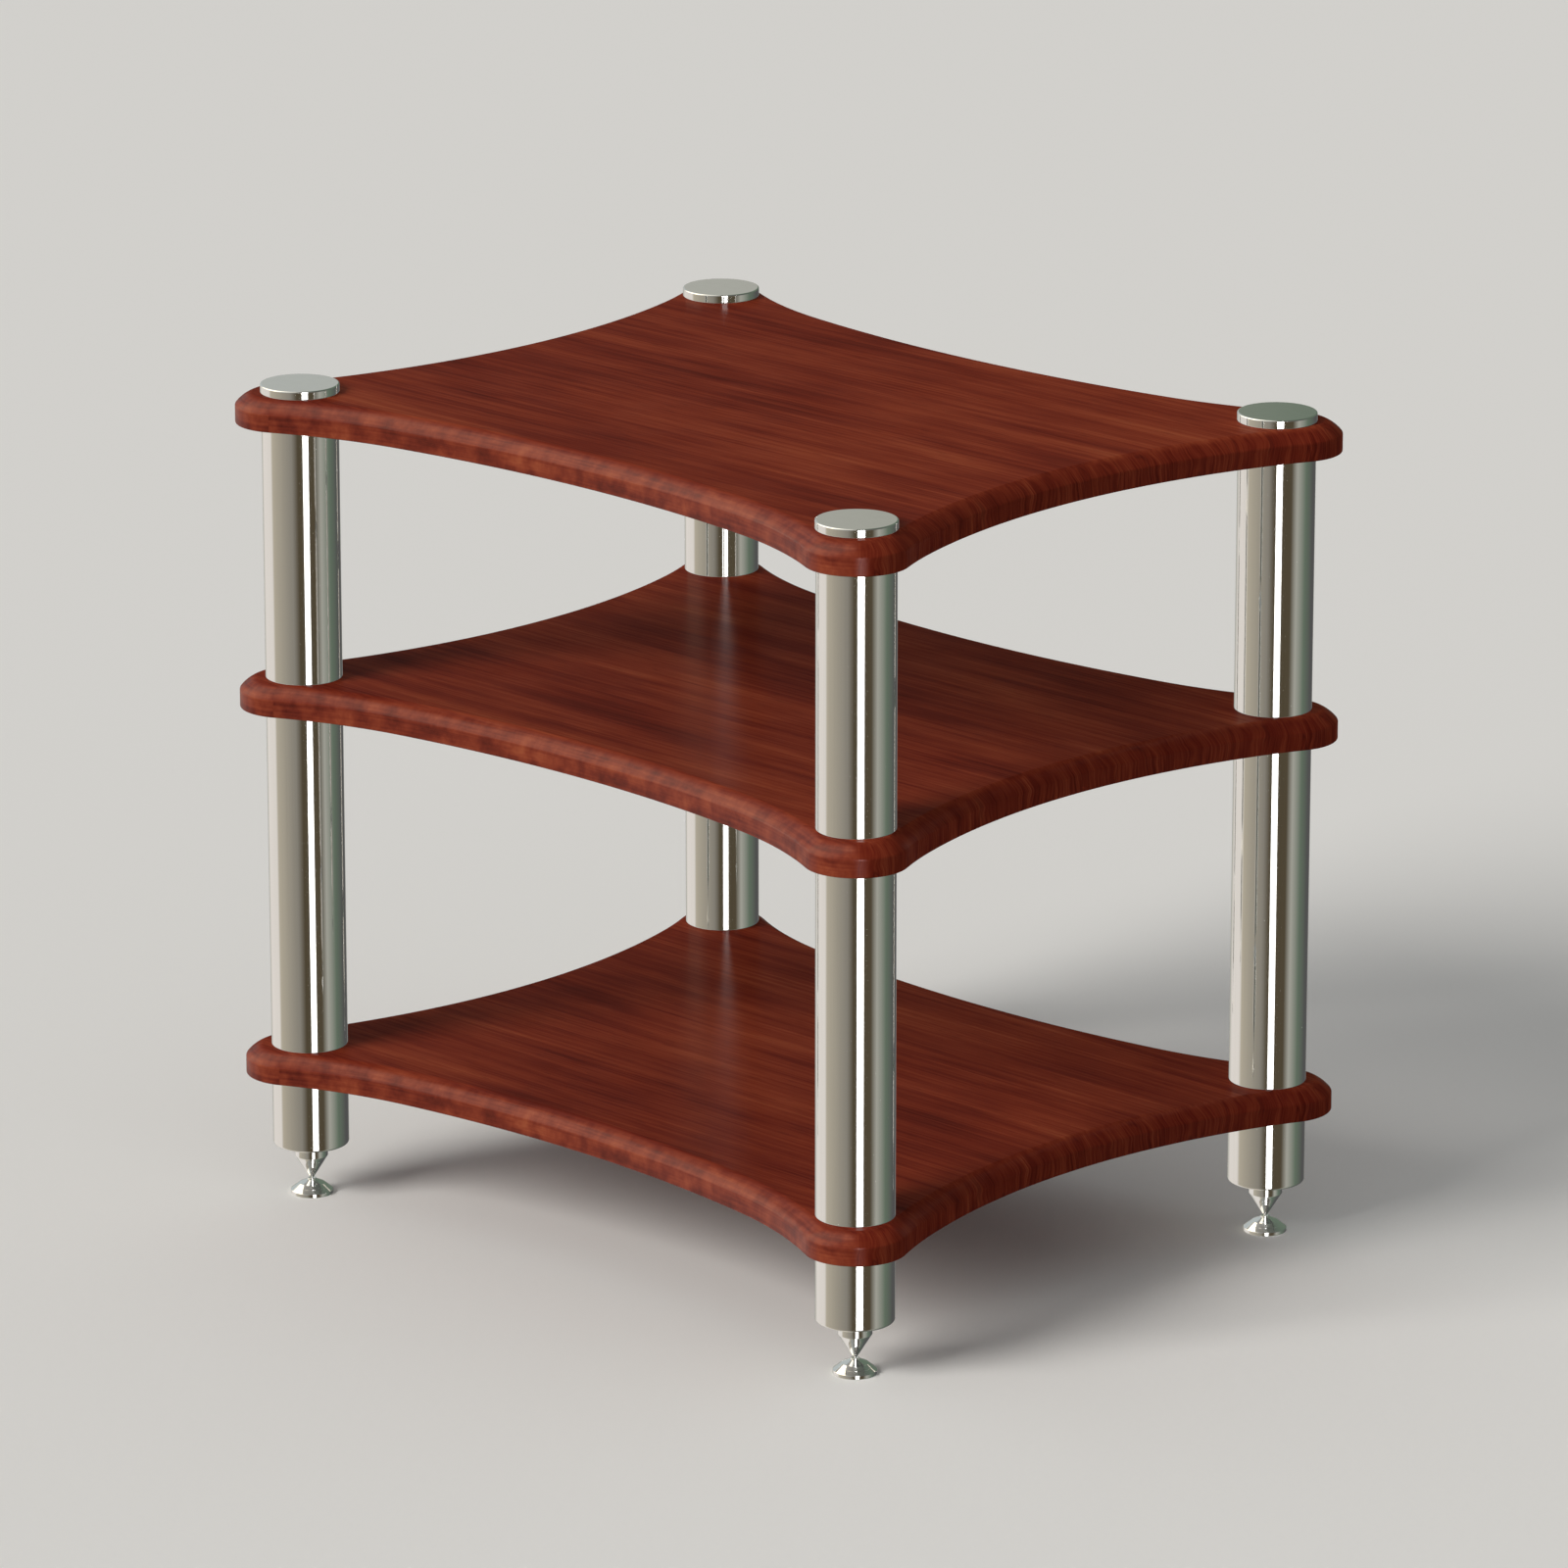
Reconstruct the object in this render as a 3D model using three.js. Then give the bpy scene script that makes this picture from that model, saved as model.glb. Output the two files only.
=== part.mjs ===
// Audio equipment rack: three waisted wooden boards clamped between short steel tubes at their four corners,
// standing on cone spikes in floor pads. Millimetres, +Z up, front towards -Y. The origin is on the floor, midway
// between the four posts.
import * as THREE from 'three';

// Plan: the four post axes
const post_spacing_x = 500;
const post_spacing_y = 384;

// Boards, one outline for all three
const board_thickness = 20;
const corner_radius = 33;
const corner_reach = 6.3; // how far the corner arc's centre lies outside the post axis, both ways
const front_waist = -6; // the middle of the front and back edges, measured outwards from the post axes
const side_waist = -1; // the same for the two side edges
const front_flatness_share = 1.315; // waist arc radius, as a share of the arc that would meet the corner direct
const side_flatness_share = 1.025;
const front_blend_share = 0.31; // blend arc radius, as a share of the waist arc radius
const side_blend_share = 0.6;
const rim_upright = 12; // the upright part of the rim, from the underside to the break
const crown_width = 10.8; // the curved shoulder above the break, seen from above
const crown_radius = 25; // of that shoulder's curve

// Posts
const tube_radius = 25;
const tube_wall = 2;
const leg_length = 49;
const lower_tube_length = 230;
const upper_tube_length = 170;

// Caps on the top board
const cap_radius = 25.6;
const cap_thickness = 5.5;
const cap_bevel = 0.8;

// Threads, inserts and studs inside the posts
const stud_radius = 5;
const board_hole_radius = 5.5;
const insert_length = 14;
const insert_recess = 0.5; // a joining insert stops this far inside its tube, so that the tube's rim is what seats
const stud_engagement = 11; // how far a stud reaches into an insert
const spike_stud_length = 19;
const running_gap = 0.3; // between a stud and its bore, an insert and its tube, a tip and its dimple

// Spikes
const spike_length = 25.6; // from the leg's underside to the tip
const collar_radius = 10.9;
const collar_height = 9;
const tip_radius = 0.9;
const tip_height = 0.6;

// Floor pads
const pad_radius = 14;
const pad_height = 10;
const pad_rim_height = 2.4;
const pad_shoulder_radius = 9;
const pad_shoulder_height = 6.4;
const boss_radius = 2.9;
const boss_height = 0.8; // of the pad's height
const dimple_radius = 1.9;
const dimple_depth = 0.9;

// Facets
const tube_sides = 32;
const turned_sides = 24;
const insert_sides = 16;
const stud_sides = 12;
const corner_steps = 12;
const blend_steps = 4;
const waist_steps = 8;
const crown_steps = 3;

// Levels, stacked up from the floor
const tip_z = pad_height - dimple_depth + running_gap;
const leg_z = tip_z + spike_length;
const bottom_board_z = leg_z + leg_length;
const lower_tube_z = bottom_board_z + board_thickness;
const middle_board_z = lower_tube_z + lower_tube_length;
const upper_tube_z = middle_board_z + board_thickness;
const top_board_z = upper_tube_z + upper_tube_length;
const cap_z = top_board_z + board_thickness;

// Finishes
const finishes = {
  veneer: { color: 0x7a3020, roughness: 0.35, metalness: 0 },
  satin_steel: { color: 0xb9b2a8, roughness: 0.3, metalness: 1 },
  plated_steel: { color: 0xc4c4c2, roughness: 0.35, metalness: 1 },
  turned_alloy: { color: 0xa9abad, roughness: 0.45, metalness: 1 },
  polished_steel: { color: 0xd6d6d4, roughness: 0.1, metalness: 1 },
};

function named(name, geometry, finish, z) {
  const mesh = new THREE.Mesh(geometry, new THREE.MeshStandardMaterial(finishes[finish]));
  mesh.name = name;
  mesh.position.z = z;
  return mesh;
}

// A piece turned about +Z from [radius, height] points that run up its outside.
function turned(points, sides) {
  const profile = points.map(([radius, height]) => new THREE.Vector2(radius, height));
  return new THREE.LatheGeometry(profile, sides).rotateX(Math.PI / 2);
}

function ring(inner_radius, outer_radius, length, sides) {
  const profile = [
    [inner_radius, 0],
    [outer_radius, 0],
    [outer_radius, length],
    [inner_radius, length],
    [inner_radius, 0],
  ];
  return turned(profile, sides);
}

// The arcs of one half of one side of the outline, in side coordinates: x runs along the side from its middle, y
// outwards from the line through the post axes. The waist arc curves in, a blend arc turns it, and the corner arc
// rounds the ear. The blend's centre is where it touches both of the others.
function side_arcs(half, waist, flatness_share, blend_share) {
  const corner = new THREE.Vector2(half + corner_reach, corner_reach);
  const rise = corner_radius - waist + corner_reach;
  const direct_radius = (corner.x ** 2 + (waist - corner_reach) ** 2 - corner_radius ** 2) / (2 * rise);
  const waist_radius = flatness_share * direct_radius;
  const blend_radius = blend_share * waist_radius;
  const waist_centre = new THREE.Vector2(0, waist + waist_radius);
  const to_corner = corner_radius + blend_radius;
  const to_waist = waist_radius - blend_radius;
  const apart = waist_centre.distanceTo(corner);
  const along = (to_corner ** 2 - to_waist ** 2 + apart ** 2) / (2 * apart);
  const across = Math.sqrt(Math.max(to_corner ** 2 - along ** 2, 0));
  const toward = waist_centre.clone().sub(corner).divideScalar(apart);
  const outward = new THREE.Vector2(toward.y, -toward.x);
  const foot = corner.clone().addScaledVector(toward, along);
  const choices = [across, -across].map((step) => foot.clone().addScaledVector(outward, step));
  const blend_centre = choices[0].x < choices[1].x ? choices[0] : choices[1];
  return { corner, waist_centre, waist_radius, blend_centre, blend_radius };
}

const front_arcs = side_arcs(post_spacing_x / 2, front_waist, front_flatness_share, front_blend_share);
const end_arcs = side_arcs(post_spacing_y / 2, side_waist, side_flatness_share, side_blend_share);

function arc_points(centre, radius, from_angle, to_angle, steps) {
  return Array.from({ length: steps + 1 }, (_, i) => {
    const angle = from_angle + ((to_angle - from_angle) * i) / steps;
    return new THREE.Vector2(centre.x + radius * Math.cos(angle), centre.y + radius * Math.sin(angle));
  });
}

// One side of the outline, from one corner arc to the next, drawn in by inset.
function side_points(arcs, inset) {
  const out_of_waist = arcs.blend_centre.clone().sub(arcs.waist_centre).angle();
  const middle = (3 * Math.PI) / 2;
  const into_corner = arcs.corner.clone().sub(arcs.blend_centre).angle();
  const half_steps = waist_steps / 2;
  const waist = arc_points(arcs.waist_centre, arcs.waist_radius + inset, middle, out_of_waist, half_steps);
  const blend_end = into_corner < Math.PI ? into_corner + 2 * Math.PI : into_corner;
  const blend = arc_points(arcs.blend_centre, arcs.blend_radius + inset, out_of_waist, blend_end, blend_steps);
  const half = [...waist, ...blend.slice(1)];
  const mirrored = half.slice(1).reverse();
  return [...mirrored.map((point) => new THREE.Vector2(-point.x, point.y)), ...half];
}

// The whole outline, anticlockwise from the left end of the front side.
function outline(inset) {
  const sides = [front_arcs, end_arcs, front_arcs, end_arcs].map((arcs, i) => {
    const along = new THREE.Vector2(1, 0).rotateAround(new THREE.Vector2(), (i * Math.PI) / 2);
    const outward = new THREE.Vector2(along.y, -along.x);
    const to_line = (arcs === front_arcs ? post_spacing_y : post_spacing_x) / 2;
    const place = (point) =>
      new THREE.Vector2().addScaledVector(along, point.x).addScaledVector(outward, to_line + point.y);
    return { points: side_points(arcs, inset).map(place), corner: place(arcs.corner) };
  });
  return sides.flatMap(({ points, corner }, i) => {
    const start = points.at(-1).clone().sub(corner).angle();
    const end = sides[(i + 1) % sides.length].points[0].clone().sub(corner).angle();
    const end_angle = end < start ? end + 2 * Math.PI : end;
    const rounded = arc_points(corner, corner_radius - inset, start, end_angle, corner_steps);
    return [...points, ...rounded.slice(1, -1)];
  });
}

function hole_points(x, y) {
  const centre = new THREE.Vector2(x, y);
  return arc_points(centre, board_hole_radius, 2 * Math.PI, 0, insert_sides).slice(0, -1);
}

const corners = [
  { corner_name: 'front_left', x: -post_spacing_x / 2, y: -post_spacing_y / 2 },
  { corner_name: 'front_right', x: post_spacing_x / 2, y: -post_spacing_y / 2 },
  { corner_name: 'back_left', x: -post_spacing_x / 2, y: post_spacing_y / 2 },
  { corner_name: 'back_right', x: post_spacing_x / 2, y: post_spacing_y / 2 },
];

// The curved shoulder of a board's rim, as [inset, height] points from the break up to the top face.
function crown() {
  const half_chord = Math.hypot(crown_width, board_thickness - rim_upright) / 2;
  const rise = (board_thickness - rim_upright) / (2 * half_chord);
  const run = crown_width / (2 * half_chord);
  const to_centre = Math.sqrt(Math.max(crown_radius ** 2 - half_chord ** 2, 0));
  const centre = new THREE.Vector2(
    crown_width / 2 + rise * to_centre,
    (rim_upright + board_thickness) / 2 - run * to_centre,
  );
  const start = new THREE.Vector2(0, rim_upright).sub(centre).angle();
  const end = new THREE.Vector2(crown_width, board_thickness).sub(centre).angle();
  return arc_points(centre, crown_radius, start, end, crown_steps).map((point) => [point.x, point.y]);
}

// A board: an upright edge below, a curved shoulder above it, and a hole through it on each post axis.
function board() {
  const holes = corners.map(({ x, y }) => hole_points(x, y));
  const positions = [];
  const put = (point, z) => positions.push(point.x, point.y, z);

  const wall = (lower, lower_z, upper, upper_z) => {
    lower.forEach((point, i) => {
      const next = (i + 1) % lower.length;
      put(point, lower_z);
      put(lower[next], lower_z);
      put(upper[next], upper_z);
      put(point, lower_z);
      put(upper[next], upper_z);
      put(upper[i], upper_z);
    });
  };
  const face = (edge, z, faces_up) => {
    const points = [edge, ...holes].flat();
    THREE.ShapeUtils.triangulateShape(edge, holes).forEach(([a, b, c]) => {
      const order = faces_up ? [a, b, c] : [a, c, b];
      order.forEach((index) => put(points[index], z));
    });
  };

  const levels = [[0, 0], ...crown()].map(([inset, z]) => ({ edge: outline(inset), z }));
  face(levels[0].edge, 0, false);
  levels.slice(1).forEach(({ edge, z }, i) => wall(levels[i].edge, levels[i].z, edge, z));
  face(levels.at(-1).edge, levels.at(-1).z, true);
  holes.forEach((hole) => wall(hole, 0, hole, board_thickness));

  const geometry = new THREE.BufferGeometry();
  geometry.setAttribute('position', new THREE.Float32BufferAttribute(positions, 3));
  geometry.computeVertexNormals();
  return geometry;
}

function tube(length) {
  return ring(tube_radius - tube_wall, tube_radius, length, tube_sides);
}

function insert() {
  const outer_radius = tube_radius - tube_wall - running_gap;
  return ring(stud_radius + running_gap, outer_radius, insert_length, insert_sides);
}

// Joins the tubes above and below a board, from inside one insert to inside the other.
function joining_stud() {
  const reach = insert_recess + stud_engagement;
  const length = board_thickness + 2 * reach;
  const profile = [
    [0, -reach],
    [stud_radius, -reach],
    [stud_radius, length - reach],
    [0, length - reach],
  ];
  return turned(profile, stud_sides);
}

// A round cap with its own stud, which reaches down through the top board into the upper tube's insert.
function top_cap() {
  const reach = board_thickness + insert_recess + stud_engagement;
  const profile = [
    [0, -reach],
    [stud_radius, -reach],
    [stud_radius, 0],
    [cap_radius, 0],
    [cap_radius, cap_thickness - cap_bevel],
    [cap_radius - cap_bevel, cap_thickness],
    [0, cap_thickness],
  ];
  return turned(profile, tube_sides);
}

// A cone that points down, under a collar that seats on the leg's lower insert, with its stud above.
function spike() {
  const profile = [
    [0, -spike_length],
    [tip_radius, tip_height - spike_length],
    [collar_radius, -collar_height],
    [collar_radius, 0],
    [stud_radius, 0],
    [stud_radius, spike_stud_length],
    [0, spike_stud_length],
  ];
  return turned(profile, turned_sides);
}

// A low convex cone with a thin upright rim, and a boss with a dimple for the spike's tip.
function floor_pad() {
  const profile = [
    [0, 0],
    [pad_radius, 0],
    [pad_radius, pad_rim_height],
    [pad_shoulder_radius, pad_shoulder_height],
    [boss_radius, pad_height - boss_height],
    [boss_radius, pad_height],
    [dimple_radius, pad_height],
    [0, pad_height - dimple_depth],
  ];
  return turned(profile, turned_sides);
}

// A tube with its upper insert, and its lower one drawn in by lower_recess.
function post_stage(name, z, length, lower_recess) {
  const top_insert_z = z + length - insert_recess - insert_length;
  return [
    named(name, tube(length), 'satin_steel', z),
    named(`${name}_top_insert`, insert(), 'turned_alloy', top_insert_z),
    named(`${name}_bottom_insert`, insert(), 'turned_alloy', z + lower_recess),
  ];
}

function post(corner_name, x, y) {
  const pieces = new THREE.Group();
  pieces.position.set(x, y, 0);
  pieces.add(
    named(`${corner_name}_floor_pad`, floor_pad(), 'polished_steel', 0),
    named(`${corner_name}_spike`, spike(), 'polished_steel', leg_z),
    ...post_stage(`${corner_name}_leg_tube`, leg_z, leg_length, 0),
    named(`${corner_name}_lower_stud`, joining_stud(), 'plated_steel', bottom_board_z),
    ...post_stage(`${corner_name}_lower_tube`, lower_tube_z, lower_tube_length, insert_recess),
    named(`${corner_name}_upper_stud`, joining_stud(), 'plated_steel', middle_board_z),
    ...post_stage(`${corner_name}_upper_tube`, upper_tube_z, upper_tube_length, insert_recess),
    named(`${corner_name}_top_cap`, top_cap(), 'satin_steel', cap_z),
  );
  return pieces;
}

const rack = new THREE.Group();
rack.add(
  named('bottom_board', board(), 'veneer', bottom_board_z),
  named('middle_board', board(), 'veneer', middle_board_z),
  named('top_board', board(), 'veneer', top_board_z),
  ...corners.map(({ corner_name, x, y }) => post(corner_name, x, y)),
);

export default rack;
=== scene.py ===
"""Looks of the audio rack: lacquered veneer boards, satin steel posts, polished spikes. Metres, +Z up."""
import math

import bmesh
import bpy
from mathutils import Matrix, Vector
from mathutils.geometry import tessellate_polygon


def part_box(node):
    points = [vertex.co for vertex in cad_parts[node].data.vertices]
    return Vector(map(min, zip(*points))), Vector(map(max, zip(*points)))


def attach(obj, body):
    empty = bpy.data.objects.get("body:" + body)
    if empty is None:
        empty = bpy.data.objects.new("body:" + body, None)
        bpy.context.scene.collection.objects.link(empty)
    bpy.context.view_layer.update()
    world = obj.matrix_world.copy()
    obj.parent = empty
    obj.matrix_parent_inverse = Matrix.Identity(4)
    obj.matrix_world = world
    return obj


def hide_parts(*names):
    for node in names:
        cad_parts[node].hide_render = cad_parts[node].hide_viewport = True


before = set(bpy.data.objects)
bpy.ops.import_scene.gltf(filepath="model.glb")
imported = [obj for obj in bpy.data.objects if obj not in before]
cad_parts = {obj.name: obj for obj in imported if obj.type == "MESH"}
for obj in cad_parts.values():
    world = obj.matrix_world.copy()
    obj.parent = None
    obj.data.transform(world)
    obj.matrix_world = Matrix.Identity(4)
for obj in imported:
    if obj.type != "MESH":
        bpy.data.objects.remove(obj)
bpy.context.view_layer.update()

BOARDS = ("bottom_board", "middle_board", "top_board")
CORNERS = ("front_left", "front_right", "back_left", "back_right")

# Board outline, as the boards were cut
corner_radius = 0.033
corner_reach = 0.0063
front_waist = -0.006
side_waist = -0.001
front_flatness_share = 1.315
side_flatness_share = 1.025
front_blend_share = 0.31
side_blend_share = 0.6

# Board rim, from the underside up
rim_upright = 0.012
crown_width = 0.0108
crown_radius = 0.025
crown_steps = 12
flat_inset = 0.022
lower_rounding = 0.0009
break_rounding = 0.0025
arris_rounding = 0.0015
board_hole_radius = 0.0055

# How far the outline has turned towards the board's length where the rim starts and is all an end
end_begins_share = 0.60
end_full_share = 0.85

# Turned pieces
tube_wall = 0.002
tube_end_rounding = 0.0004
leg_end_rounding = 0.0016
cap_thickness = 0.0055
cap_stud_radius = 0.005
cap_rounding = 0.0009
stud_radius = 0.005
stud_end_rounding = 0.0004
stud_root_rounding = 0.0002
thread_pitch = 0.0015
thread_depth = 0.0008
spike_collar_height = 0.009
collar_rounding = 0.0008
collar_top_rounding = 0.0003
tip_radius = 0.0009
tip_rounding = 0.0004
pad_rim_height = 0.0024
pad_edge_rounding = 0.0004
pad_swell = 0.001
pad_swell_shares = (0.25, 0.5, 0.75)
pad_slope_rounding = 0.001
boss_radius = 0.0029
boss_height = 0.0008
boss_rounding = 0.0002
dimple_radius = 0.0019
dimple_depth = 0.0009
insert_bore_radius = 0.0053
insert_gap = 0.0003

# Steps round the shapes, and the flat strip kept beside each rounding
fillet_support = 0.0001
waist_steps = 96
blend_steps = 24
corner_steps = 48
hole_steps = 32
fillet_steps = 8
turned_steps = 128
thread_steps = 40
ridge_sides = 4
on_axis = 1e-7

# Camera, as solved from the photograph
camera_place = (3.9652, -4.0237, 1.9285)
camera_azimuth = 44.5864
camera_pitch = 16.1592
camera_roll = 0.012
camera_lens = 208.45
camera_sensor = 36

# Studio: the floor, the key light, the fill all round, and the tall panel that the steel mirrors
floor_reach = 30
floor_as_lit = (0.50, 0.49, 0.47, 1)
floor_as_seen = (0.88, 0.87, 0.85, 1)
backdrop_colour = (0.80, 0.79, 0.77, 1)
fill_colour = (0.98, 1.0, 1.0, 1)
fill_strength = 0.34
key_azimuth = -12
key_elevation = 32
key_softness = 30
key_strength = 2.35
key_colour = (1.0, 0.97, 0.93)
panel_azimuth = 57
panel_distance = 2.75
panel_width = 0.92
panel_low_z = -2.2
panel_split_z = -0.2
panel_high_z = 1.7
panel_turn = math.radians(panel_azimuth)
panel_side = Vector((math.sin(panel_turn), -math.cos(panel_turn), 0))

# Tones of the studio's sides, which the gloss alone sees
glow_tone = (2.4, 2.2, 1.8)
bright_tone = (0.9, 0.85, 0.8)
silver_tone = (0.55, 0.6, 0.6)
warm_tone = (0.55, 0.5, 0.4)
grey_tone = (0.45, 0.45, 0.4)
dim_tone = (0.3, 0.28, 0.24)
shade_tone = (0.15, 0.2, 0.15)
dark_tone = (0.1, 0.1, 0.1)
brown_tone = (0.1, 0.08, 0.05)
tones_meet = (-0.06, 0.12)


# Outline and profile


def side_arcs(half, waist, flatness_share, blend_share):
    """The arcs of half a side: x along it from its middle, y out from the line through the post axes."""
    corner = Vector((half + corner_reach, corner_reach))
    rise = corner_radius - waist + corner_reach
    direct = (corner.x**2 + (waist - corner_reach) ** 2 - corner_radius**2) / (2 * rise)
    waist_radius = flatness_share * direct
    blend_radius = blend_share * waist_radius
    waist_centre = Vector((0, waist + waist_radius))
    to_corner = corner_radius + blend_radius
    to_waist = waist_radius - blend_radius
    apart = (waist_centre - corner).length
    along = (to_corner**2 - to_waist**2 + apart**2) / (2 * apart)
    across = math.sqrt(max(to_corner**2 - along**2, 0))
    toward = (waist_centre - corner) / apart
    outward = Vector((toward.y, -toward.x))
    choices = [corner + toward * along + outward * step for step in (across, -across)]
    blend_centre = min(choices, key=lambda point: point.x)
    return {
        "corner": corner,
        "waist": (waist_centre, waist_radius),
        "blend": (blend_centre, blend_radius),
    }


def angle_of(vector):
    return math.atan2(vector.y, vector.x) % math.tau


def arc(centre, radius, start, end, steps):
    angles = [start + (end - start) * i / steps for i in range(steps + 1)]
    return [centre + radius * Vector((math.cos(a), math.sin(a))) for a in angles]


def side_points(arcs, inset):
    """One side of the outline, from one corner arc to the next, drawn in by inset."""
    waist_centre, waist_radius = arcs["waist"]
    blend_centre, blend_radius = arcs["blend"]
    leaves_waist = angle_of(blend_centre - waist_centre)
    meets_corner = angle_of(arcs["corner"] - blend_centre)
    if meets_corner < math.pi:
        meets_corner += math.tau
    waist = arc(waist_centre, waist_radius + inset, 1.5 * math.pi, leaves_waist, waist_steps // 2)
    blend = arc(blend_centre, blend_radius + inset, leaves_waist, meets_corner, blend_steps)
    half = waist + blend[1:]
    return [Vector((-point.x, point.y)) for point in reversed(half[1:])] + half


def outline(inset):
    """The board's outline, anticlockwise from the left end of its front side."""
    sides = []
    for i, arcs in enumerate((front_arcs, end_arcs, front_arcs, end_arcs)):
        turn = Matrix.Rotation(i * math.pi / 2, 2)
        to_line = post_y if arcs is front_arcs else post_x
        drawn = side_points(arcs, inset) + [arcs["corner"]]
        *points, corner = [turn @ Vector((point.x, -to_line - point.y)) for point in drawn]
        sides.append((points, corner))
    points = []
    for i, (side, corner) in enumerate(sides):
        following = sides[(i + 1) % len(sides)][0]
        start = angle_of(side[-1] - corner)
        end = angle_of(following[0] - corner)
        if end < start:
            end += math.tau
        points += side + arc(corner, corner_radius - inset, start, end, corner_steps)[1:-1]
    return points


def crown(thickness):
    """The curved shoulder of a rim from the break up to the top face, as insets and heights."""
    start, end = Vector((0, rim_upright)), Vector((crown_width, thickness))
    half = (end - start) / 2
    to_centre = math.sqrt(crown_radius**2 - half.length_squared)
    centre = start + half + Vector((half.y, -half.x)).normalized() * to_centre
    return arc(centre, crown_radius, angle_of(start - centre), angle_of(end - centre), crown_steps)


def filleted(points, radii):
    """A polyline with its inner corners rounded, and a support point each side of every rounding."""
    made = [Vector(points[0])]
    for before, corner, after, radius in zip(points, points[1:], points[2:], radii):
        corner = Vector(corner)
        if radius == 0:
            made.append(corner)
            continue
        back = (Vector(before) - corner).normalized()
        ahead = (Vector(after) - corner).normalized()
        half_angle = back.angle(ahead) / 2
        reach = radius / math.tan(half_angle)
        centre = corner + (back + ahead).normalized() * radius / math.sin(half_angle)
        start = corner + back * reach - centre
        turn = start.angle_signed(corner + ahead * reach - centre)
        made.append(corner + back * (reach + fillet_support))
        for i in range(fillet_steps + 1):
            angle = angle_of(start) - turn * i / fillet_steps
            made.append(centre + radius * Vector((math.cos(angle), math.sin(angle))))
        made.append(corner + ahead * (reach + fillet_support))
    return made + [Vector(points[-1])]


# Meshes


def plain_object(name, data):
    piece = bpy.data.objects.new(name, data)
    bpy.context.scene.collection.objects.link(piece)
    return piece


def turned_mesh(name, profile, closed=False):
    """Turns (radius, height) points about Z. A profile starts and ends on the axis, or closes on itself."""
    form = bmesh.new()
    rings = []
    for radius, height in profile:
        if radius < on_axis:
            rings.append([form.verts.new((0, 0, height))])
            continue
        angles = [math.tau * i / turned_steps for i in range(turned_steps)]
        rings.append([form.verts.new((radius * math.cos(a), radius * math.sin(a), height)) for a in angles])
    pairs = list(zip(rings, rings[1:]))
    if closed:
        pairs.append((rings[-1], rings[0]))
    for lower, upper in pairs:
        for i in range(turned_steps):
            j = (i + 1) % turned_steps
            below = [lower[i % len(lower)], lower[j % len(lower)]]
            above = [upper[j % len(upper)], upper[i % len(upper)]]
            form.faces.new(list(dict.fromkeys(below + above)))
    bmesh.ops.recalc_face_normals(form, faces=form.faces)
    for face in form.faces:
        face.smooth = True
    mesh = bpy.data.meshes.new(name)
    form.to_mesh(mesh)
    form.free()
    return mesh


def step_between(value, low, high):
    """0 at low, 1 at high and smooth in between, also where low is the greater."""
    share = min(max((value - low) / (high - low), 0), 1)
    return share * share * (3 - 2 * share)


def board_mesh(name, low_z, high_z):
    """A board with its rounded rim. rim_share is 0 on its faces, and end_share is 1 on its rim's ends."""
    thickness = high_z - low_z
    shoulder = crown(thickness)
    corners = [(flat_inset, 0), (0, 0), *shoulder, (flat_inset, thickness)]
    plain = [0] * (len(shoulder) - 2)
    profile = filleted(corners, (lower_rounding, break_rounding, *plain, arris_rounding))
    form = bmesh.new()
    rim_share = form.verts.layers.float.new("rim_share")
    end_share = form.verts.layers.float.new("end_share")
    rim_map = form.loops.layers.uv.new("rim")
    reference = outline(0)
    count = len(reference)
    lengths = [0]
    ends = []
    for i, here in enumerate(reference):
        following = reference[(i + 1) % count]
        lengths.append(lengths[-1] + (following - here).length)
        along = (following - reference[i - 1]).normalized()
        ends.append(step_between(abs(along.y), end_begins_share, end_full_share))
    heights = [0]
    for here, following in zip(profile, profile[1:]):
        heights.append(heights[-1] + (following - here).length)

    rings = []
    for inset, height in profile:
        ring = [form.verts.new((point.x, point.y, low_z + height)) for point in outline(inset)]
        reach = crown_width if height > thickness / 2 else 2 * lower_rounding
        share = step_between(inset, reach, reach / 2)
        for vertex, end in zip(ring, ends):
            vertex[rim_share] = share
            vertex[end_share] = end
        rings.append(ring)
    for k, (lower, upper) in enumerate(zip(rings, rings[1:])):
        for i in range(count):
            j = (i + 1) % count
            face = form.faces.new((lower[i], lower[j], upper[j], upper[i]))
            face.smooth = True
            places = ((i, k), (i + 1, k), (i + 1, k + 1), (i, k + 1))
            for loop, (along, up) in zip(face.loops, places):
                loop[rim_map].uv = (lengths[along], heights[up])

    holes = []
    for x in (-post_x, post_x):
        for y in (-post_y, post_y):
            circle = arc(Vector((x, y)), board_hole_radius, 0, math.tau, hole_steps)[:-1]
            holes.append([[form.verts.new((p.x, p.y, z)) for p in circle] for z in (low_z, high_z)])
    for lower, upper in holes:
        for i in range(hole_steps):
            j = (i + 1) % hole_steps
            form.faces.new((lower[j], lower[i], upper[i], upper[j]))
    for level, edge in enumerate((rings[0], rings[-1])):
        loops = [edge] + [hole[level] for hole in holes]
        vertices = [vertex for loop in loops for vertex in loop]
        for triangle in tessellate_polygon([[vertex.co for vertex in loop] for loop in loops]):
            form.faces.new([vertices[index] for index in triangle])
    bmesh.ops.recalc_face_normals(form, faces=form.faces)
    mesh = bpy.data.meshes.new(name)
    form.to_mesh(mesh)
    form.free()
    return mesh


# Geometry node trees


def new_tree(name, inputs):
    tree = bpy.data.node_groups.new(name, "GeometryNodeTree")
    for label, kind in inputs:
        tree.interface.new_socket(label, in_out="INPUT", socket_type=kind)
    tree.interface.new_socket("Geometry", in_out="OUTPUT", socket_type="NodeSocketGeometry")
    return tree


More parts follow.
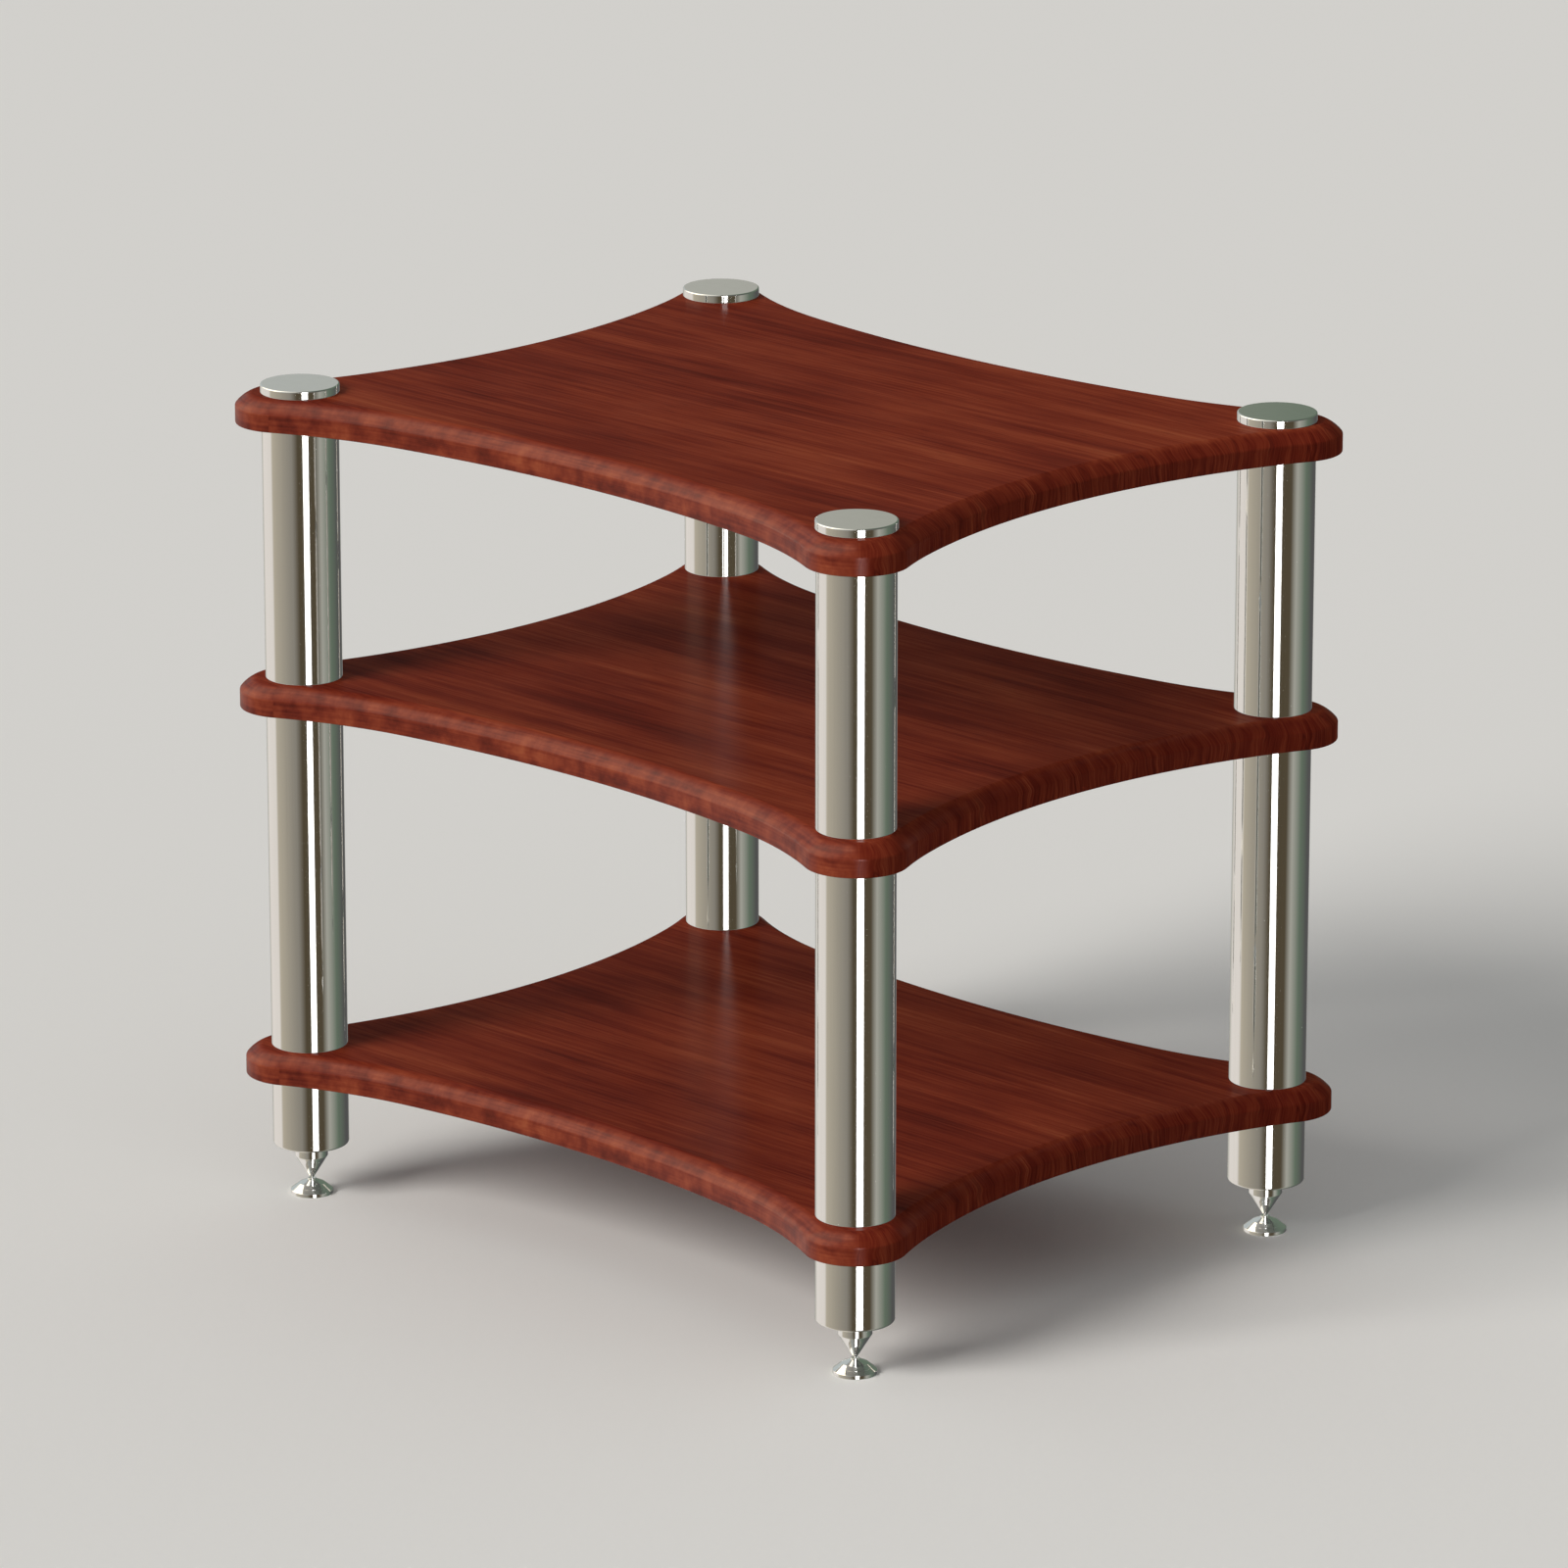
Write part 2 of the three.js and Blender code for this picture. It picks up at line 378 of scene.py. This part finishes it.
def tree_node(tree, kind, **links):
    """Adds a node. A link is named for the input socket, with its spaces as underscores."""
    node = tree.nodes.new(kind)
    for label, value in links.items():
        socket = next(s for s in node.inputs if s.enabled and s.name == label.replace("_", " "))
        if isinstance(value, bpy.types.NodeSocket):
            tree.links.new(value, socket)
        else:
            socket.default_value = value
    return node


def end_tree(tree, geometry, material):
    """Realises the instances and sets the material."""
    realized = tree_node(tree, "GeometryNodeRealizeInstances", Geometry=geometry)
    painted = tree_node(tree, "GeometryNodeSetMaterial", Geometry=realized.outputs[0], Material=material)
    tree_node(tree, "NodeGroupOutput", Geometry=painted.outputs[0])
    return tree


def at_posts_tree():
    """One piece on each of the four post axes."""
    tree = new_tree(
        "at_the_four_posts",
        [
            ("Geometry", "NodeSocketGeometry"),
            ("Spacing X", "NodeSocketFloat"),
            ("Spacing Y", "NodeSocketFloat"),
            ("Material", "NodeSocketMaterial"),
        ],
    )
    given = tree.nodes.new("NodeGroupInput").outputs
    grid = tree_node(
        tree,
        "GeometryNodeMeshGrid",
        Size_X=given["Spacing X"],
        Size_Y=given["Spacing Y"],
        Vertices_X=2,
        Vertices_Y=2,
    )
    placed = tree_node(
        tree, "GeometryNodeInstanceOnPoints", Points=grid.outputs["Mesh"], Instance=given["Geometry"]
    )
    return end_tree(tree, placed.outputs[0], given["Material"])


def thread_tree():
    """A thread ridge wound round a core that is given as the geometry."""
    tree = new_tree(
        "thread",
        [
            ("Geometry", "NodeSocketGeometry"),
            ("Radius", "NodeSocketFloat"),
            ("Ridge", "NodeSocketFloat"),
            ("Turns", "NodeSocketFloat"),
            ("Height", "NodeSocketFloat"),
            ("Material", "NodeSocketMaterial"),
        ],
    )
    given = tree.nodes.new("NodeGroupInput").outputs
    helix = tree_node(
        tree,
        "GeometryNodeCurveSpiral",
        Resolution=thread_steps,
        Rotations=given["Turns"],
        Start_Radius=given["Radius"],
        End_Radius=given["Radius"],
        Height=given["Height"],
        Reverse=False,
    )
    section = tree_node(
        tree, "GeometryNodeCurvePrimitiveCircle", Resolution=ridge_sides, Radius=given["Ridge"]
    )
    ridge = tree_node(
        tree,
        "GeometryNodeCurveToMesh",
        Curve=helix.outputs[0],
        Profile_Curve=section.outputs[0],
        Fill_Caps=True,
    )
    joined = tree.nodes.new("GeometryNodeJoinGeometry")
    tree.links.new(ridge.outputs[0], joined.inputs[0])
    tree.links.new(given["Geometry"], joined.inputs[0])
    return end_tree(tree, joined.outputs[0], given["Material"])


def grown(name, mesh, tree, values):
    """The plain mesh that a node tree makes of a mesh, with values set by the name of their input."""
    source = plain_object(name + "_source", mesh)
    modifier = source.modifiers.new("tree", "NODES")
    modifier.node_group = tree
    for item in tree.interface.items_tree:
        if item.name in values:
            modifier[item.identifier] = values[item.name]
    bpy.context.view_layer.update()
    evaluated = source.evaluated_get(bpy.context.evaluated_depsgraph_get())
    made = bpy.data.meshes.new_from_object(evaluated)
    made.name = name
    bpy.data.objects.remove(source)
    return made


# Materials


class Signal:
    """One output of a material's tree. Arithmetic on it adds Math nodes."""

    def __init__(self, paint, socket):
        self.paint = paint
        self.socket = socket

    def math(self, operation, *values):
        return self.paint.node("ShaderNodeMath", {"operation": operation}, list(values))

    def __add__(self, other):
        return self.math("ADD", self, other)

    __radd__ = __add__

    def __sub__(self, other):
        return self.math("SUBTRACT", self, other)

    def __rsub__(self, other):
        return self.math("SUBTRACT", other, self)

    def __mul__(self, other):
        return self.math("MULTIPLY", self, other)

    __rmul__ = __mul__

    def __truediv__(self, other):
        return self.math("DIVIDE", self, other)

    def __rtruediv__(self, other):
        return self.math("DIVIDE", other, self)

    def __neg__(self):
        return self * -1

    def between(self, low, high):
        """0 below low, 1 above high, and a smooth step from one to the other."""
        settings = {"interpolation_type": "SMOOTHSTEP"}
        inputs = {"Value": self, "From Min": low, "From Max": high}
        return self.paint.node("ShaderNodeMapRange", settings, inputs)


class Paint:
    """The node tree of a material or a world."""

    def __init__(self, owner):
        owner.use_nodes = True
        self.tree = owner.node_tree
        self.tree.nodes.clear()

    def node(self, kind, settings=None, inputs=None, output=None):
        """Adds a node, sets it up, feeds its sockets by name or in order, and returns one output."""
        made = self.tree.nodes.new(kind)
        for key, value in (settings or {}).items():
            if key == "stops":
                self.set_stops(made.color_ramp, value)
            else:
                setattr(made, key, value)
        if isinstance(inputs, list):
            pairs = list(zip([s for s in made.inputs if s.enabled], inputs))
        else:
            named = {s.name: s for s in made.inputs if s.enabled}
            pairs = [(named[key], value) for key, value in (inputs or {}).items()]
        for socket, value in pairs:
            if isinstance(value, Signal):
                self.tree.links.new(value.socket, socket)
            else:
                socket.default_value = value
        outputs = [s for s in made.outputs if s.enabled and output in (None, s.name)]
        return Signal(self, outputs[0]) if outputs else None

    @staticmethod
    def set_stops(ramp, stops):
        while len(ramp.elements) < len(stops):
            ramp.elements.new(1.0)
        for element, (place, colour) in zip(ramp.elements, stops):
            element.position = place
            element.color = (*colour, 1.0)

    def noise(self, vector, scales, detail=3.0, roughness=0.55, shift=(0, 0, 0)):
        """Noise from 0 to 1 with its own scale along each axis."""
        inputs = {"Vector": vector, "Location": shift, "Scale": scales}
        stretched = self.node("ShaderNodeMapping", {}, inputs)
        inputs = {"Vector": stretched, "Scale": 1.0, "Detail": detail, "Roughness": roughness}
        return self.node("ShaderNodeTexNoise", {}, inputs)

    def distance(self, signal, value):
        return self.node("ShaderNodeMath", {"operation": "ABSOLUTE"}, [signal - value])

    def blend(self, share, first, second):
        settings = {"data_type": "RGBA"}
        return self.node("ShaderNodeMix", settings, {"Factor": share, "A": first, "B": second}, "Result")

    def bump(self, height, strength, distance):
        inputs = {"Height": height, "Strength": strength, "Distance": distance}
        return self.node("ShaderNodeBump", {}, inputs)

    def surface(self, **inputs):
        named = {key.replace("_", " "): value for key, value in inputs.items()}
        shader = self.node("ShaderNodeBsdfPrincipled", {}, named)
        self.node("ShaderNodeOutputMaterial", {}, {"Surface": shader})


def veneer():
    """Veneer with a red stain under satin lacquer. Its grain runs along the board, upright on the rim's
    ends, which also carry a deeper red as painted shade.
    """
    material = bpy.data.materials.new("red_veneer")
    paint = Paint(material)
    place = paint.node("ShaderNodeTexCoord", output="Object")
    rim_place = paint.node("ShaderNodeUVMap", {"uv_map": "rim"})
    rim = paint.node("ShaderNodeAttribute", {"attribute_name": "rim_share"}, output="Fac")
    end = paint.node("ShaderNodeAttribute", {"attribute_name": "end_share"}, output="Fac")

    long_streaks = paint.noise(place, (7, 420, 420), detail=4, roughness=0.6)
    face_figure = paint.noise(place, (6, 60, 60), detail=3, roughness=0.55, shift=(1.7, 0.4, 0))
    clouds = paint.noise(place, (7, 14, 14), detail=2, roughness=0.5, shift=(0.3, 2.1, 0))
    face_tone = long_streaks * 0.48 + face_figure * 0.50 + clouds * 0.40 - 0.19

    front_streaks = paint.noise(rim_place, (12, 420, 1), detail=4, roughness=0.6, shift=(0, 3.3, 0))
    front_figure = paint.noise(rim_place, (16, 110, 1), detail=3, roughness=0.5, shift=(5.1, 0, 0))
    mottle = paint.noise(rim_place, (74, 62, 1), detail=3, roughness=0.6, shift=(3.1, 0.9, 0))
    front_tone = front_streaks * 0.46 + front_figure * 0.46 + mottle * 0.72 - 0.32

    sway = paint.noise(rim_place, (26, 34, 1), detail=2, roughness=0.5, shift=(2.2, 7.1, 0))
    swayed = paint.node(
        "ShaderNodeVectorMath",
        {"operation": "ADD"},
        [rim_place, paint.node("ShaderNodeCombineXYZ", {}, {"X": (sway - 0.5) * 0.012})],
    )
    end_streaks = paint.noise(swayed, (760, 26, 1), detail=3, roughness=0.6)
    end_bands = paint.noise(swayed, (130, 7, 1), detail=2, roughness=0.5, shift=(4.1, 0, 0))
    end_clouds = paint.noise(rim_place, (34, 30, 1), detail=2, roughness=0.5, shift=(0.7, 1.3, 0))
    end_tone = end_streaks * 0.80 + end_bands * 0.56 + end_clouds * 0.26 - 0.33
    rings = paint.noise(swayed, (64, 9, 1), detail=1, roughness=0.4, shift=(9.3, 1, 0))
    ring_line = 1 - paint.distance(rings, 0.5).between(0.0, 0.014)

    rim_tone = front_tone + (end_tone - front_tone) * end
    tone = face_tone + (rim_tone - face_tone) * rim
    stops = [
        (0.28, (0.085, 0.010, 0.005)),
        (0.42, (0.148, 0.019, 0.009)),
        (0.50, (0.190, 0.028, 0.012)),
        (0.60, (0.238, 0.041, 0.017)),
        (0.74, (0.306, 0.068, 0.027)),
    ]
    colour = paint.node("ShaderNodeValToRGB", {"stops": stops}, {"Fac": tone}, "Color")
    pitting = paint.noise(place, (60, 900, 900), detail=2, roughness=0.5, shift=(0, 5.2, 0))
    pores = pitting.between(0.60, 0.72)
    marks = pores * (1 - rim) * 0.35 + ring_line * rim * end * 0.50
    marked = paint.blend(marks, colour, (0.05, 0.008, 0.006, 1))
    # Painted shade: the rims' ends are blended towards a deeper, darker red, so that they read as the
    # boards' shaded sides.
    shaded_ends = paint.blend(rim * end * 0.20, marked, (0.10, 0.003, 0.001, 1))
    wear = paint.noise(place, (26, 26, 26), detail=3, roughness=0.6, shift=(4, 0, 1))
    paint.surface(
        Base_Color=shaded_ends,
        Roughness=0.46 + wear * 0.08,
        Specular_IOR_Level=0.0,
        Coat_Weight=0.04 + rim * (0.38 - end * 0.35) + wear * 0.04,
        Coat_Roughness=0.24,
        Normal=paint.bump(tone, 0.10, 0.0004),
    )
    return material


def steel(name, colour, roughness, streak):
    """Steel brushed along its length: faint streaks up it, in colour and gloss."""
    material = bpy.data.materials.new(name)
    paint = Paint(material)
    place = paint.node("ShaderNodeTexCoord", output="Object")
    brushed = paint.noise(place, (900, 900, 6), detail=3, roughness=0.6)
    soft = paint.noise(place, (120, 120, 9), detail=2, roughness=0.5, shift=(2, 3, 0))
    darker = tuple(0.90 * value for value in colour) + (1,)
    lighter = tuple(1.04 * value for value in colour) + (1,)
    paint.surface(
        Base_Color=paint.blend((brushed + soft) / 2, darker, lighter),
        Metallic=1.0,
        Roughness=roughness + (brushed - 0.5) * streak,
    )
    return material


def bright_steel(name, colour, roughness, turning):
    """Steel turned and polished: faint rings round it in relief, and smudges in colour and gloss."""
    material = bpy.data.materials.new(name)
    paint = Paint(material)
    place = paint.node("ShaderNodeTexCoord", output="Object")
    rings = paint.noise(place, (3, 3, 1400), detail=2, roughness=0.5)
    smudges = paint.noise(place, (70, 70, 70), detail=3, roughness=0.6, shift=(1, 0, 2))
    darker = tuple(0.93 * value for value in colour) + (1,)
    paint.surface(
        Base_Color=paint.blend(smudges, darker, (*colour, 1)),
        Metallic=1.0,
        Roughness=roughness + smudges * turning,
        Normal=paint.bump(rings, 0.04, 0.00004),
    )
    return material


# Pieces


def seat(piece, body, slot, *nodes):
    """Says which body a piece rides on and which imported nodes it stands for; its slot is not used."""
    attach(piece, body)
    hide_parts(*nodes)
    return piece


def make_boards():
    finish = veneer()
    for name in BOARDS:
        low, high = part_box(name)
        mesh = board_mesh(name + "_veneered", low.z, high.z)
        mesh.materials.append(finish)
        board = seat(plain_object(name + "_veneered", mesh), "rack", "veneer", name)
        board.visible_glossy = False


def tube_profile(low_z, high_z, lower_rounding, upper_rounding):
    inner = tube_radius - tube_wall
    inside = Vector((inner, (low_z + high_z) / 2))
    corners = [
        inside,
        (inner, low_z),
        (tube_radius, low_z),
        (tube_radius, high_z),
        (inner, high_z),
        inside,
    ]
    radii = (tube_end_rounding, lower_rounding, upper_rounding, tube_end_rounding)
    return filleted(corners, radii)[:-1]


def on_all_posts(name, mesh, material, slot, nodes):
    values = {"Spacing X": 2 * post_x, "Spacing Y": 2 * post_y, "Material": material}
    made = grown(name, mesh, posts_tree, values)
    return seat(plain_object(name, made), "rack", slot, *nodes)


def make_tubes(finish):
    for stage in ("leg_tube", "lower_tube", "upper_tube"):
        nodes = [f"{corner}_{stage}" for corner in CORNERS]
        low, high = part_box(nodes[0])
        below = leg_end_rounding if stage == "leg_tube" else tube_end_rounding
        profile = tube_profile(low.z, high.z, below, tube_end_rounding)
        name = stage + "s"
        on_all_posts(name, turned_mesh(name, profile, closed=True), finish, "satin_steel", nodes)


def make_caps(finish):
    nodes = [f"{corner}_top_cap" for corner in CORNERS]
    low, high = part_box(nodes[0])
    radius = (high.x - low.x) / 2
    under = high.z - cap_thickness
    corners = [
        (0, low.z),
        (cap_stud_radius, low.z),
        (cap_stud_radius, under),
        (radius, under),
        (radius, high.z),
        (0, high.z),
    ]
    radii = (tube_end_rounding, tube_end_rounding, tube_end_rounding, cap_rounding)
    mesh = turned_mesh("top_caps", filleted(corners, radii))
    on_all_posts("top_caps", mesh, finish, "satin_steel", nodes)


def make_leg_plugs(finish):
    """The alloy plugs that close the legs' lower ends and hold the spikes."""
    nodes = [f"{corner}_leg_tube_bottom_insert" for corner in CORNERS]
    low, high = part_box(nodes[0])
    outer = tube_radius - tube_wall - insert_gap
    inside = Vector((insert_bore_radius, (low.z + high.z) / 2))
    corners = [
        inside,
        (insert_bore_radius, low.z),
        (outer, low.z),
        (outer, high.z),
        (insert_bore_radius, high.z),
        inside,
    ]
    profile = filleted(corners, (tube_end_rounding,) * 4)[:-1]
    mesh = turned_mesh("leg_plugs", profile, closed=True)
    on_all_posts("leg_plugs", mesh, finish, "turned_alloy", nodes)


def shifted(mesh, x, y, z=0):
    for vertex in mesh.vertices:
        vertex.co += Vector((x, y, z))
    return mesh


def make_spikes(finish):
    for corner in CORNERS:
        node = corner + "_spike"
        low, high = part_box(node)
        seat_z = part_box(corner + "_leg_tube")[0].z
        collar = (high.x - low.x) / 2
        cone_z = seat_z - spike_collar_height
        core = stud_radius - thread_depth
        corners = [
            (0, low.z),
            (tip_radius, low.z + tip_radius / 2),
            (collar, cone_z),
            (collar, seat_z),
            (core, seat_z),
            (core, high.z),
            (0, high.z),
        ]
        radii = (
            tip_rounding,
            collar_rounding,
            collar_top_rounding,
            stud_root_rounding,
            stud_end_rounding,
        )
        mesh = turned_mesh(node, filleted(corners, radii))
        thread_height = high.z - seat_z - 2 * thread_pitch
        values = {
            "Radius": core,
            "Ridge": thread_depth,
            "Turns": thread_height / thread_pitch,
            "Height": thread_height,
            "Material": finish,
        }
        shifted(mesh, 0, 0, -seat_z - thread_pitch)
        made = grown(node + "_turned", mesh, threads, values)
        x, y = (low.x + high.x) / 2, (low.y + high.y) / 2
        piece = plain_object(node + "_turned", shifted(made, x, y, seat_z + thread_pitch))
        seat(piece, corner + "_screw", "polished_steel", node)


def make_pads(finish):
    for corner in CORNERS:
        node = corner + "_floor_pad"
        low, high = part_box(node)
        radius = (high.x - low.x) / 2
        shoulder = high.z - boss_height
        rim_edge = Vector((radius, pad_rim_height))
        boss_edge = Vector((boss_radius, shoulder))
        slope = [
            rim_edge.lerp(boss_edge, share) + Vector((0, pad_swell * (1 - abs(2 * share - 1))))
            for share in pad_swell_shares
        ]
        corners = [
            (0, 0),
            (radius, 0),
            rim_edge,
            *slope,
            boss_edge,
            (boss_radius, high.z),
            (dimple_radius, high.z),
            (0, high.z - dimple_depth),
        ]
        edges = [pad_edge_rounding] * 2
        slopes = [pad_slope_rounding] * len(slope)
        radii = edges + slopes + [boss_rounding] * 3
        mesh = turned_mesh(node + "_turned", filleted(corners, radii))
        mesh.materials.append(finish)
        x, y = (low.x + high.x) / 2, (low.y + high.y) / 2
        pad = plain_object(node + "_turned", shifted(mesh, x, y))
        seat(pad, corner + "_foot", "polished_steel", node)


def finish_hidden_nodes(alloy, plated):
    for name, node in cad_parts.items():
        if node.hide_render:
            continue
        node.data.materials.clear()
        node.data.materials.append(plated if name.endswith("_stud") else alloy)


# Studio


def flat_sheet(name, corners):
    mesh = bpy.data.meshes.new(name)
    mesh.from_pydata(corners, [], [(0, 1, 2, 3)])
    sheet = plain_object(name, mesh)
    return sheet


def make_floor():
    signs = ((-1, -1), (1, -1), (1, 1), (-1, 1))
    floor = flat_sheet("floor", [(x * floor_reach, y * floor_reach, 0) for x, y in signs])
    material = bpy.data.materials.new("pale_floor")
    paint = Paint(material)
    seen = paint.node("ShaderNodeLightPath", output="Is Camera Ray")
    paint.surface(
        Base_Color=paint.blend(seen, floor_as_lit, floor_as_seen),
        Roughness=0.85,
        Specular_IOR_Level=0.0,
    )
    floor.data.materials.append(material)
    floor.visible_glossy = False


def make_light_panel(name, low_z, high_z, strength):
    """A tall pale panel that only the gloss of the rack mirrors."""
    across = Vector((-panel_side.y, panel_side.x, 0)) * panel_width / 2
    middle = Vector((post_x, -post_y, 0)) + panel_side * panel_distance
    near, far = middle - across, middle + across
    panel = flat_sheet(
        name,
        [(near.x, near.y, low_z), (far.x, far.y, low_z), (far.x, far.y, high_z), (near.x, near.y, high_z)],
    )
    material = bpy.data.materials.new(name)
    paint = Paint(material)
    glow = paint.node("ShaderNodeEmission", {}, {"Color": (1, 1, 1, 1), "Strength": strength})
    paint.node("ShaderNodeOutputMaterial", {}, {"Surface": glow})
    material.cycles.emission_sampling = "NONE"
    panel.data.materials.append(material)
    panel.visible_camera = False
    panel.visible_diffuse = False
    panel.visible_transmission = False
    panel.visible_shadow = False


def make_world():
    """A plain fill all round, a pale backdrop, and for the gloss alone two bands of tones, low and high.

    Each tone stands at its angle round the rack, from -180 to 180 degrees, with 0 in front.
    """
    world = bpy.data.worlds.new("studio")
    bpy.context.scene.world = world
    paint = Paint(world)
    direction = paint.node("ShaderNodeTexCoord", output="Generated")
    split = paint.node("ShaderNodeSeparateXYZ", {}, {"Vector": direction}, "X")
    parts = split.socket.node.outputs
    x, y, z = (Signal(paint, parts[axis]) for axis in "XYZ")
    turn = x.math("ARCTAN2", x, -y) / math.tau + 0.5
    low_tones = [
        (-160, dark_tone),
        (-120, grey_tone),
        (-96, bright_tone),
        (-54, bright_tone),
        (-46, warm_tone),
        (20, dim_tone),
        (38, brown_tone),
        (88, brown_tone),
        (107, grey_tone),
        (140, shade_tone),
        (180, dark_tone),
    ]
    high_tones = [
        (-139, shade_tone),
        (-136, grey_tone),
        (-128, silver_tone),
        (-98, silver_tone),
        (-84, glow_tone),
        (-34, glow_tone),
        (-8, silver_tone),
        (40, dim_tone),
        (110, dark_tone),
        (180, shade_tone),
    ]
    brightest = max(glow_tone)
    mirrored = []
    for band in (low_tones, high_tones):
        stops = [
            ((angle + 180) / 360, tuple(value / brightest for value in colour))
            for angle, colour in band
        ]
        mirrored.append(paint.node("ShaderNodeValToRGB", {"stops": stops}, {"Fac": turn}, "Color"))
    tones = paint.blend(z.between(*tones_meet), *mirrored)
    gloss = paint.node("ShaderNodeBackground", {}, {"Color": tones, "Strength": brightest})
    plain = paint.node("ShaderNodeBackground", {}, {"Color": fill_colour, "Strength": fill_strength})
    pale = paint.node("ShaderNodeBackground", {}, {"Color": backdrop_colour, "Strength": 1.0})
    rays = paint.node("ShaderNodeLightPath", output="Is Glossy Ray")
    outputs = rays.socket.node.outputs
    seen = Signal(paint, outputs["Is Camera Ray"])
    behind = paint.node("ShaderNodeMixShader", {}, [seen, plain, pale])
    shown = paint.node("ShaderNodeMixShader", {}, [rays, behind, gloss])
    paint.node("ShaderNodeOutputWorld", {}, {"Surface": shown})


def make_key():
    """A broad soft key from the front left, the same all over the floor."""
    lamp = bpy.data.lights.new("key", "SUN")
    lamp.angle = math.radians(key_softness)
    lamp.energy = key_strength
    lamp.color = key_colour
    key = plain_object("key", lamp)
    azimuth, elevation = math.radians(key_azimuth), math.radians(key_elevation)
    level = math.cos(elevation)
    away = Vector((math.sin(azimuth) * level, -math.cos(azimuth) * level, math.sin(elevation)))
    key.rotation_euler = away.to_track_quat("Z", "Y").to_euler()
    key.visible_glossy = False


def make_camera():
    data = bpy.data.cameras.new("camera")
    data.lens = camera_lens
    data.sensor_width = camera_sensor
    data.clip_start = 0.1
    data.clip_end = 100
    camera = plain_object("camera", data)
    camera.location = camera_place
    turns = (90 - camera_pitch, camera_roll, camera_azimuth)
    camera.rotation_euler = [math.radians(turn) for turn in turns]
    bpy.context.scene.camera = camera


tube_low, tube_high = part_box("front_right_lower_tube")
post_x = (tube_low.x + tube_high.x) / 2
post_y = -(tube_low.y + tube_high.y) / 2
tube_radius = (tube_high.x - tube_low.x) / 2
front_arcs = side_arcs(post_x, front_waist, front_flatness_share, front_blend_share)
end_arcs = side_arcs(post_y, side_waist, side_flatness_share, side_blend_share)
posts_tree = at_posts_tree()
threads = thread_tree()

satin = steel("satin_steel", (0.77, 0.76, 0.74), roughness=0.06, streak=0.004)
polished = bright_steel("polished_steel", (0.80, 0.80, 0.79), roughness=0.05, turning=0.08)
alloy = bright_steel("turned_alloy", (0.62, 0.63, 0.64), roughness=0.30, turning=0.12)
plated = bright_steel("plated_steel", (0.68, 0.68, 0.67), roughness=0.28, turning=0.12)

make_camera()
make_boards()
make_tubes(satin)
make_caps(satin)
make_leg_plugs(alloy)
make_spikes(polished)
make_pads(polished)
finish_hidden_nodes(alloy, plated)
make_floor()
make_light_panel("low_panel", panel_low_z, panel_split_z, strength=3.0)
make_light_panel("high_panel", panel_split_z, panel_high_z, strength=14.0)
make_world()
make_key()
bpy.context.scene.view_settings.view_transform = "Standard"
